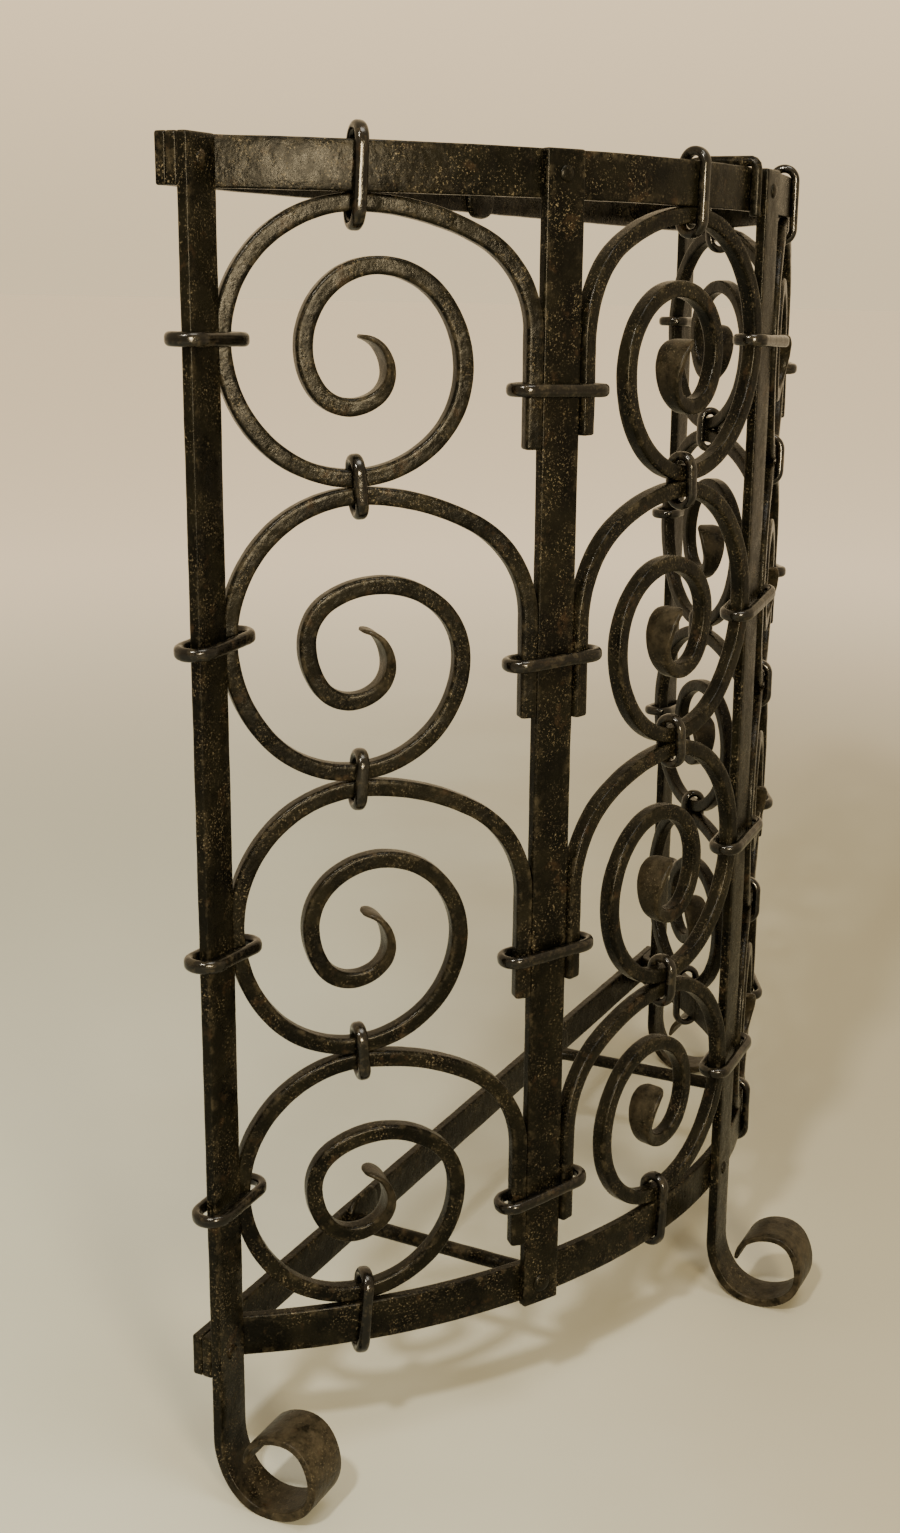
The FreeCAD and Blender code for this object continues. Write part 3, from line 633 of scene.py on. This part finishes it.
def make_scroll(bay, row):
    round_side, tail_side, outward = bay_frame(bay)
    across = tail_side - round_side
    low = joint_level(bay, row + 1) + SCROLL_BAR / 2
    tall = joint_level(bay, row) - SCROLL_BAR / 2 - low

    def at(spot):
        return round_side + across * spot[0] + UP * (low + tall * spot[1])

    turns = list(SCROLL_TURNS)
    share, rise = turns[SECOND_TOP]
    turns[SECOND_TOP] = (share, rise + SECOND_TOP_RISE[bay][row] / tall)
    tail_end = at((1.0, 0.0))
    tail_end.z = low - SCROLL_BAR / 2 + TAIL_GAPS[bay][row]
    points = [tail_end] + turn_points(turns, at, LINE_STEP)
    length = Run(points).length
    leaf = Run(turn_points(turns[-LEAF_TURNS - 1:], at, LINE_STEP)).length
    leaf_start = 1 - leaf / length

    def section(share):
        leaf_share = max(share - leaf_start, 0.0) / (1 - leaf_start)
        thick, wide = blend_rows(LEAF_SECTIONS, leaf_share)
        return wide, thick, SCROLL_CORNER

    sweeper = Sweeper()
    sweeper.bar(points, outward, section, flats=(4, 4), step=0.002, seed=20.0 + bay * ROWS + row,
                depth=0.00026, dusty=lambda share: min(max(share - leaf_start, 0.0) * LEAF_DUST, 1.0))
    name = "scroll_bay%d_%s" % (bay + 1, ROW_NAMES[row])
    sweeper.finish(name + "_forged", [name], SCROLL_IRON)


# ---- collars -----------------------------------------------------------------
def ring_points(middle, long_axis, short_axis, long_clear, short_clear):
    """Closed loop of rod with round ends. The clear sizes are inside the loop."""
    radius = short_clear / 2 + COLLAR_THICK / 2
    half_run = long_clear / 2 - COLLAR_FIT
    steps = 14              # in each round end
    points = []
    for end in (1, -1):
        for step in range(steps + 1):
            angle = math.pi * (0.5 * end - step / steps)
            u = end * half_run + radius * math.cos(angle)
            v = radius * math.sin(angle)
            points.append(middle + long_axis * u + short_axis * v)
    points.append(points[0].copy())
    return points


def add_collar(sweeper, middle, long_axis, short_axis, long_clear, short_clear, tilt, seed):
    """One collar, leaning a little, as hand-closed collars do."""
    turn = Matrix.Rotation(math.radians(tilt), 3, short_axis)
    long_axis = turn @ long_axis
    points = ring_points(middle, long_axis, short_axis, long_clear, short_clear)
    bar_axis = long_axis.cross(short_axis)
    sweeper.bar(points, bar_axis, lambda share: (COLLAR_TALL, COLLAR_THICK, COLLAR_CORNER),
                flats=(2, 3), rounds=4, step=0.0014, closed=True, seed=seed, depth=0.00028)


def post_bundle(index):
    """Reach of everything a post's collars go round: along the bow, and out of it."""
    centre, outward, along = post_frame(index)
    corners = []
    for u in (-1, 1):
        for v in (0, 1):
            corners.append(centre + along * (u * BAR_WIDTH / 2) - outward * (v * BAR_THICK))
    for bay in (index - 1, index):
        if bay in (-1, 4):
            continue
        round_side, tail_side, bay_out = bay_frame(bay)
        spot = tail_side if index in (1, 3) else round_side
        bay_across = (tail_side - round_side).normalized()
        half = SCROLL_BAR / 2
        for u in (-half, half):
            for v in (-half, half):
                corners.append(spot + bay_across * u + bay_out * v)
    along_spots = [(corner - centre).dot(along) for corner in corners]
    out_spots = [(corner - centre).dot(outward) for corner in corners]
    return min(along_spots), max(along_spots), min(out_spots), max(out_spots)


def make_post_collars(index):
    centre, outward, along = post_frame(index)
    near, far, back, front = post_bundle(index)
    drops = [OUTER_COLLAR_DROP, INNER_COLLAR_DROP, CENTRE_COLLAR_DROP][min(index, 4 - index)]
    sweeper = Sweeper()
    for row in range(ROWS):
        height = TOP_RAIL_BOTTOM - (row + 0.5) * PITCH - drops[row]
        middle = centre + along * ((near + far) / 2) + outward * ((back + front) / 2) + UP * height
        add_collar(sweeper, middle, along, outward, far - near, front - back,
                   POST_COLLAR_TILT[index][row], 50.0 + index * ROWS + row)
    name = "collars_" + POST_NAMES[index]
    sweeper.finish(name + "_forged", [name], COLLAR_IRON)


def make_bay_collars(bay):
    """Upright collars: rail and first scroll, each scroll and the next, last scroll and rail."""
    round_side, tail_side, outward = bay_frame(bay)
    spot = round_side + (tail_side - round_side) * BAY_COLLAR_SHARE
    rail_front = BOW_RADIUS - (spot - BOW_CENTRE).to_2d().length
    sweeper = Sweeper()
    for joint in range(ROWS + 1):
        level = joint_level(bay, joint)
        low = level - SCROLL_BAR
        high = level + SCROLL_BAR
        front = SCROLL_BAR / 2
        back = -front
        if joint in (0, ROWS):
            front = max(front, rail_front)
            back = min(back, rail_front - BAR_THICK)
        if joint == 0:
            high = HEIGHT
        if joint == ROWS:
            low = RAIL_BOTTOM
        middle = spot + outward * ((front + back) / 2) + UP * ((low + high) / 2)
        add_collar(sweeper, middle, UP, outward, high - low, front - back,
                   BAY_COLLAR_TILT[bay][joint], 80.0 + bay * (ROWS + 1) + joint)
    name = "collars_bay%d" % (bay + 1)
    sweeper.finish(name + "_forged", [name], COLLAR_IRON)


# ---- rivets ------------------------------------------------------------------
def add_dome(sweeper, face, way, seed, size=1.0):
    """Hammered rivet head: a low dome with an uneven rim, standing on a face."""
    side = UP if abs(way.z) < 0.9 else RIGHT
    side = (side - way * side.dot(way)).normalized()
    across = way.cross(side)
    around = 28
    rings = 7
    rim_unevenness = 0.07
    rim_scale = 1.3
    sunk = -0.0006          # the rim starts this far inside the bar
    dent_depth = 0.00016
    crown_wear = 0.6
    first = len(sweeper.verts)
    for ring in range(rings + 1):
        lift = math.pi / 2 * ring / rings
        for k in range(around):
            angle = 2 * math.pi * k / around
            sample = Vector((math.cos(angle) * rim_scale, math.sin(angle) * rim_scale, seed))
            rim = 1 + rim_unevenness * noise.noise(sample)
            radius = size * RIVET_HEAD * rim * math.cos(lift)
            height = size * RIVET_RISE * math.sin(lift) if ring else sunk
            spot = face + side * (radius * math.cos(angle)) + across * (radius * math.sin(angle))
            spot += way * height
            sweeper.verts.append(spot + way * dent(spot, seed, dent_depth if ring else 0.0))
            sweeper.wear.append(crown_wear * ring / rings)
            sweeper.dust.append(0.0)
    for ring in range(rings):
        here = first + ring * around
        for k in range(around):
            k2 = (k + 1) % around
            sweeper.faces.append((here + k, here + k2, here + around + k2, here + around + k))
    sweeper.faces.append(tuple(first + k for k in reversed(range(around))))


def make_rivets(name, height, posts, seed):
    sweeper = Sweeper()
    for index in posts:
        centre, outward = post_frame(index)[:2]
        grip = (3 if index in (0, 4) else 2) * BAR_THICK
        front = centre + UP * height
        add_dome(sweeper, front, outward, seed + index)
        add_dome(sweeper, front - outward * grip, -outward, seed + index + 0.5)
    sweeper.finish(name + "_forged", [name], BAR_IRON)


# ---- braces ------------------------------------------------------------------
def add_palm(sweeper, middle, along, outward, seed):
    """Flattened end of a brace: a thick hammered leaf lying against a bar, worn thin at its rim."""
    around = 48
    rings = 8
    rim_steps = (0.5, 0.85, 1.0)
    rim_rise = 0.8          # of the thickness, at the top of the rim
    rim_inset = 0.09        # of the outline, from its foot to there
    crown_rise = 0.2        # from there to the middle
    unevenness = 0.05
    outline_scale = 1.5
    dent_depth = 0.0003
    worn_from = 0.3         # the rim is rubbed between these shares of the thickness
    worn_to = 0.82
    outline = []
    power = 3.2             # between an oval and a rectangle
    for k in range(around):
        angle = 2 * math.pi * k / around
        c = math.cos(angle)
        d = math.sin(angle)
        reach = (abs(c) ** power + abs(d) ** power) ** (-1 / power)
        sample = Vector((c * outline_scale, d * outline_scale, seed))
        rim = reach * (1 + unevenness * noise.noise(sample))
        outline.append((rim * c * PALM_LONG / 2, rim * d * PALM_TALL / 2))
    first = len(sweeper.verts)
    loops = [(1.0, 0.0)] + [(1 - rim_inset * part ** 2, part * rim_rise) for part in rim_steps]
    for ring in range(1, rings):
        swell = math.sin(math.pi / 2 * ring / rings)
        loops.append(((1 - rim_inset) * (1 - ring / rings), rim_rise + crown_rise * swell))
    for shrink, lift in loops:
        for u, v in outline:
            spot = middle + along * (u * shrink) + UP * (v * shrink) + outward * (PALM_THICK * lift)
            sweeper.verts.append(spot + outward * (dent(spot, seed, dent_depth) if lift else 0.0))
            sweeper.wear.append(1.0 if worn_from < lift < worn_to else 0.0)
            sweeper.dust.append(0.0)
    for loop in range(len(loops) - 1):
        here = first + loop * around
        for k in range(around):
            k2 = (k + 1) % around
            sweeper.faces.append((here + k, here + k2, here + around + k2, here + around + k))
    sweeper.faces.append(tuple(first + k for k in reversed(range(around))))
    last = first + (len(loops) - 1) * around
    sweeper.faces.append(tuple(last + k for k in range(around)))


def add_rod(sweeper, points, diameter, seed):
    """Round forged rod, spread where it runs into its palm at the first point."""
    length = Run(points).length

    def section(share):
        spread = max(0.0, 1 - share * length / SPREAD_LONG)
        wide = diameter * (1 + ROD_SPREAD * spread ** SPREAD_CURVE)
        thick = diameter * (1 - ROD_THINNING * spread)
        return wide, thick, thick * ROD_CORNER

    sweeper.bar(points, RIGHT, section, flats=(2, 2), rounds=5, step=0.002, seed=seed,
                depth=0.00024, end_round=0.0010)


def rail_back_frame(x):
    """Point on the back face of the curved rail at an X, with its outward way."""
    radius = BOW_RADIUS - BAR_THICK
    angle = math.asin(x / radius)
    outward = Vector((math.sin(angle), -math.cos(angle), 0))
    return BOW_CENTRE + outward * radius, outward


def make_bottom_brace(name, x, palm_rise, front, outward, grip, seed):
    sweeper = Sweeper()
    shoulder = front - outward * grip
    palm_middle = Vector((x + PALM_OFFSET, CHORD_FRONT_Y, BOTTOM_RIVET_Z + palm_rise))
    start = Vector((x, CHORD_FRONT_Y - PALM_THICK * PALM_ROOT, BOTTOM_RIVET_Z + palm_rise / 2))
    bend = shoulder - outward * BRACE_NECK
    points = bent_line([start, bend, shoulder + outward * SHOULDER_SUNK], [BOTTOM_BEND], LINE_STEP)
    add_rod(sweeper, points, BRACE_DIA, seed)
    add_palm(sweeper, palm_middle, RIGHT, FRONT, seed + 0.3)
    add_dome(sweeper, front, outward, seed + 0.6, BRACE_HEAD_SIZE)
    sweeper.finish(name + "_forged", [name], BAR_IRON)


def make_top_brace(seed):
    """Rod from the top back bar, over the curved rail and hooked down its front."""
    sweeper = Sweeper()
    x = BRACE_TOP_X
    half = TOP_BRACE_DIA / 2
    face_y = rail_back_frame(x)[0].y
    front_y = face_y - BAR_THICK - half - TOP_PLAY
    top_z = HEIGHT + half + TOP_PLAY
    level = TOP_RIVET_Z + TOP_ROD_RISE
    climb_y = face_y + CLIMB_BEFORE
    corners = [Vector((x, CHORD_FRONT_Y - PALM_THICK * PALM_ROOT, level)),
               Vector((x, climb_y + 1.5 * CLIMB_LONG, level)),
               Vector((x, climb_y + 0.5 * CLIMB_LONG, top_z)),
               Vector((x, front_y, top_z)),
               Vector((x, front_y, TOP_RAIL_BOTTOM - HOOK_DROP))]
    points = bent_line(corners, [CLIMB_BEND, CLIMB_BEND, HOOK_BEND], LINE_STEP)
    add_rod(sweeper, points, TOP_BRACE_DIA, seed)
    palm_middle = Vector((x + TOP_PALM_OFFSET, CHORD_FRONT_Y, TOP_RIVET_Z - TOP_PALM_DROP))
    add_palm(sweeper, palm_middle, RIGHT, FRONT, seed + 0.3)
    sweeper.finish("brace_top_forged", ["brace_top"], BAR_IRON)


# ---- put the screen together -------------------------------------------------
def make_screen():
    for index in range(5):
        make_post(index)
        make_post_collars(index)
    for bay in range(4):
        for row in range(ROWS):
            make_scroll(bay, row)
        make_bay_collars(bay)
    make_curved_rail("rail_curved_top", TOP_RAIL_BOTTOM, 11.0)
    make_curved_rail("rail_curved_bottom", RAIL_BOTTOM, 12.0)
    make_back_bar("bar_back_top", TOP_RAIL_BOTTOM, 13.0)
    make_back_bar("bar_back_bottom", RAIL_BOTTOM, 14.0)
    make_rivets("rivets_top", TOP_RIVET_Z, (0, 1, 2, 3, 4), 110.0)
    make_rivets("rivets_bottom", BOTTOM_RIVET_Z, (0, 2, 3, 4), 120.0)
    level = UP * BOTTOM_RIVET_Z
    left_post, left_out = post_frame(1)[:2]
    right_spot, right_out = rail_back_frame(BRACE_RIGHT_X)
    right_spot += right_out * BAR_THICK
    make_bottom_brace("brace_bottom_left", BRACE_LEFT_X, LEFT_PALM_RISE,
                      left_post + level, left_out, 2 * BAR_THICK, 131.0)
    make_bottom_brace("brace_bottom_right", BRACE_RIGHT_X, RIGHT_PALM_RISE,
                      right_spot + level, right_out, BAR_THICK, 132.0)
    make_top_brace(133.0)


make_screen()


# ---- floor, light and camera -------------------------------------------------
FLOOR_NEAR = 0.9            # where the floor starts to brighten, from the middle of the screen
FLOOR_FAR = 3.8
FLOOR_SHADE_WAY = (0.44, -0.90, 0.0)    # painted shade darkens and browns the floor in this direction,
FLOOR_SHADE_FROM = -0.30                # from here
FLOOR_SHADE_TO = 0.50                   # to here
FLOOR_HALF = 60.0
CLOTH_SCALE = 3.2
CLOTH_DETAIL = 5.0
CLOTH_UNEVENNESS = 0.45     # how far the cloth's cloudy patches shift the painted shade
FLOOR_ROUGHNESS = 0.9
FLOOR_GLOSS = 0.1
FLOOR_GREY = (0.328, 0.352, 0.328, 1)
# Painted shade: the darker, browner colour of the floor on its shaded side.
FLOOR_PAINTED_SHADE = (0.240, 0.236, 0.192, 1)
FLOOR_PALE = (0.775, 0.775, 0.775, 1)
WALL_LOW = (1.02, 0.80, 0.49, 1)        # wall at the horizon,
WALL_HIGH = (1.36, 1.04, 0.63, 1)       # and from this share of the way up
WALL_RISE = 0.2
CAMERA_LENS = 28.607        # for a sensor 24 mm tall
CAMERA_SHIFT = (-0.0228, 0.0044)
CAMERA_PLACE = (-1.1342, -0.5366, -0.0697)   # X, from the end posts' front face, from their top
CAMERA_YAW = 64.20
CAMERA_PITCH = -15.006
CAMERA_ROLL = 0.756


def make_floor():
    """Wide plain floor: grey near the screen, with painted shade making it darker and browner to one
    side, brightening to the horizon.
    """
    half = FLOOR_HALF
    mesh = bpy.data.meshes.new("floor")
    corners = [(-half, -half, 0), (half, -half, 0), (half, half, 0), (-half, half, 0)]
    mesh.from_pydata(corners, [], [(0, 1, 2, 3)])
    floor = bpy.data.objects.new("floor", mesh)
    bpy.context.collection.objects.link(floor)
    material = bpy.data.materials.new("pale_floor")
    material.use_nodes = True
    nodes = material.node_tree.nodes
    link = material.node_tree.links.new
    shader = nodes["Principled BSDF"]
    place = nodes.new("ShaderNodeTexCoord")
    distance = nodes.new("ShaderNodeVectorMath")
    distance.operation = "LENGTH"
    link(place.outputs["Object"], distance.inputs[0])
    fade = nodes.new("ShaderNodeMapRange")
    fade.interpolation_type = "SMOOTHSTEP"
    fade.inputs["From Min"].default_value = FLOOR_NEAR
    fade.inputs["From Max"].default_value = FLOOR_FAR
    link(distance.outputs["Value"], fade.inputs["Value"])
    cloth = nodes.new("ShaderNodeTexNoise")
    cloth.inputs["Scale"].default_value = CLOTH_SCALE
    cloth.inputs["Detail"].default_value = CLOTH_DETAIL
    link(place.outputs["Object"], cloth.inputs["Vector"])
    # Painted shade: the floor's colour darkens and browns along FLOOR_SHADE_WAY, standing in for the
    # room's shade on that side.
    slope = nodes.new("ShaderNodeVectorMath")
    slope.operation = "DOT_PRODUCT"
    slope.inputs[1].default_value = FLOOR_SHADE_WAY
    link(place.outputs["Object"], slope.inputs[0])
    uneven = nodes.new("ShaderNodeMath")
    uneven.operation = "MULTIPLY_ADD"
    uneven.inputs[1].default_value = CLOTH_UNEVENNESS
    link(cloth.outputs["Fac"], uneven.inputs[0])
    link(slope.outputs["Value"], uneven.inputs[2])
    shade = nodes.new("ShaderNodeMapRange")
    shade.interpolation_type = "SMOOTHSTEP"
    shade.inputs["From Min"].default_value = FLOOR_SHADE_FROM
    shade.inputs["From Max"].default_value = FLOOR_SHADE_TO
    link(uneven.outputs["Value"], shade.inputs["Value"])
    near = nodes.new("ShaderNodeMix")
    near.data_type = "RGBA"
    near.inputs[6].default_value = FLOOR_GREY
    near.inputs[7].default_value = FLOOR_PAINTED_SHADE
    link(shade.outputs["Result"], near.inputs["Factor"])
    colour = nodes.new("ShaderNodeMix")
    colour.data_type = "RGBA"
    colour.inputs[7].default_value = FLOOR_PALE
    link(fade.outputs["Result"], colour.inputs["Factor"])
    link(near.outputs[2], colour.inputs[6])
    link(colour.outputs[2], shader.inputs["Base Color"])
    shader.inputs["Roughness"].default_value = FLOOR_ROUGHNESS
    shader.inputs["Specular IOR Level"].default_value = FLOOR_GLOSS
    mesh.materials.append(material)
    floor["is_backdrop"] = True


def add_light(name, place, target, size, watts, colour):
    lamp = bpy.data.lights.new(name, "AREA")
    lamp.shape = "DISK"
    lamp.size = size
    lamp.energy = watts
    lamp.color = colour
    holder = bpy.data.objects.new(name, lamp)
    holder.location = place
    holder.rotation_euler = (Vector(target) - Vector(place)).to_track_quat("-Z", "Y").to_euler()
    bpy.context.collection.objects.link(holder)


def make_world():
    """Even studio wall, a little brighter above the horizon."""
    world = bpy.data.worlds.new("studio")
    world.use_nodes = True
    nodes = world.node_tree.nodes
    link = world.node_tree.links.new
    place = nodes.new("ShaderNodeTexCoord")
    parts = nodes.new("ShaderNodeSeparateXYZ")
    link(place.outputs["Generated"], parts.inputs[0])
    rise = nodes.new("ShaderNodeMapRange")
    rise.interpolation_type = "SMOOTHSTEP"
    rise.inputs["From Max"].default_value = WALL_RISE
    link(parts.outputs["Z"], rise.inputs["Value"])
    wall = nodes.new("ShaderNodeMix")
    wall.data_type = "RGBA"
    wall.inputs[6].default_value = WALL_LOW
    wall.inputs[7].default_value = WALL_HIGH
    link(rise.outputs["Result"], wall.inputs["Factor"])
    link(wall.outputs[2], nodes["Background"].inputs["Color"])
    bpy.context.scene.world = world


def make_camera():
    """Camera a little below the top of the screen, off its left front corner."""
    lens = bpy.data.cameras.new("camera")
    lens.sensor_fit = "VERTICAL"
    lens.sensor_height = 24.0
    lens.lens = CAMERA_LENS
    lens.shift_x = CAMERA_SHIFT[0]
    lens.shift_y = CAMERA_SHIFT[1]
    holder = bpy.data.objects.new("camera", lens)
    holder.location = (CAMERA_PLACE[0], FACE_Y + CAMERA_PLACE[1], HEIGHT + CAMERA_PLACE[2])
    turn = Matrix.Rotation(math.radians(-CAMERA_YAW), 3, "Z")
    turn = turn @ Matrix.Rotation(math.radians(90 + CAMERA_PITCH), 3, "X")
    turn = turn @ Matrix.Rotation(math.radians(CAMERA_ROLL), 3, "Z")
    holder.rotation_euler = turn.to_euler()
    bpy.context.collection.objects.link(holder)
    bpy.context.scene.camera = holder


make_floor()
make_world()
add_light("key", place=(-2.00, -1.90, 0.90), target=(-0.25, 0, 0.6),
          size=0.55, watts=150, colour=(1.0, 0.80, 0.48))
add_light("overhead", place=(-0.5, -0.9, 2.8), target=(0, 0, 0.3),
          size=1.0, watts=42, colour=(1.0, 0.95, 0.84))
add_light("lamp", place=(-1.75, -0.15, 2.0), target=(-0.2, -0.05, 0.45),
          size=0.18, watts=75, colour=(1.0, 0.90, 0.72))
make_camera()

boxes = [[list(corner) for corner in box] for box in (CAD_BOX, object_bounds())]
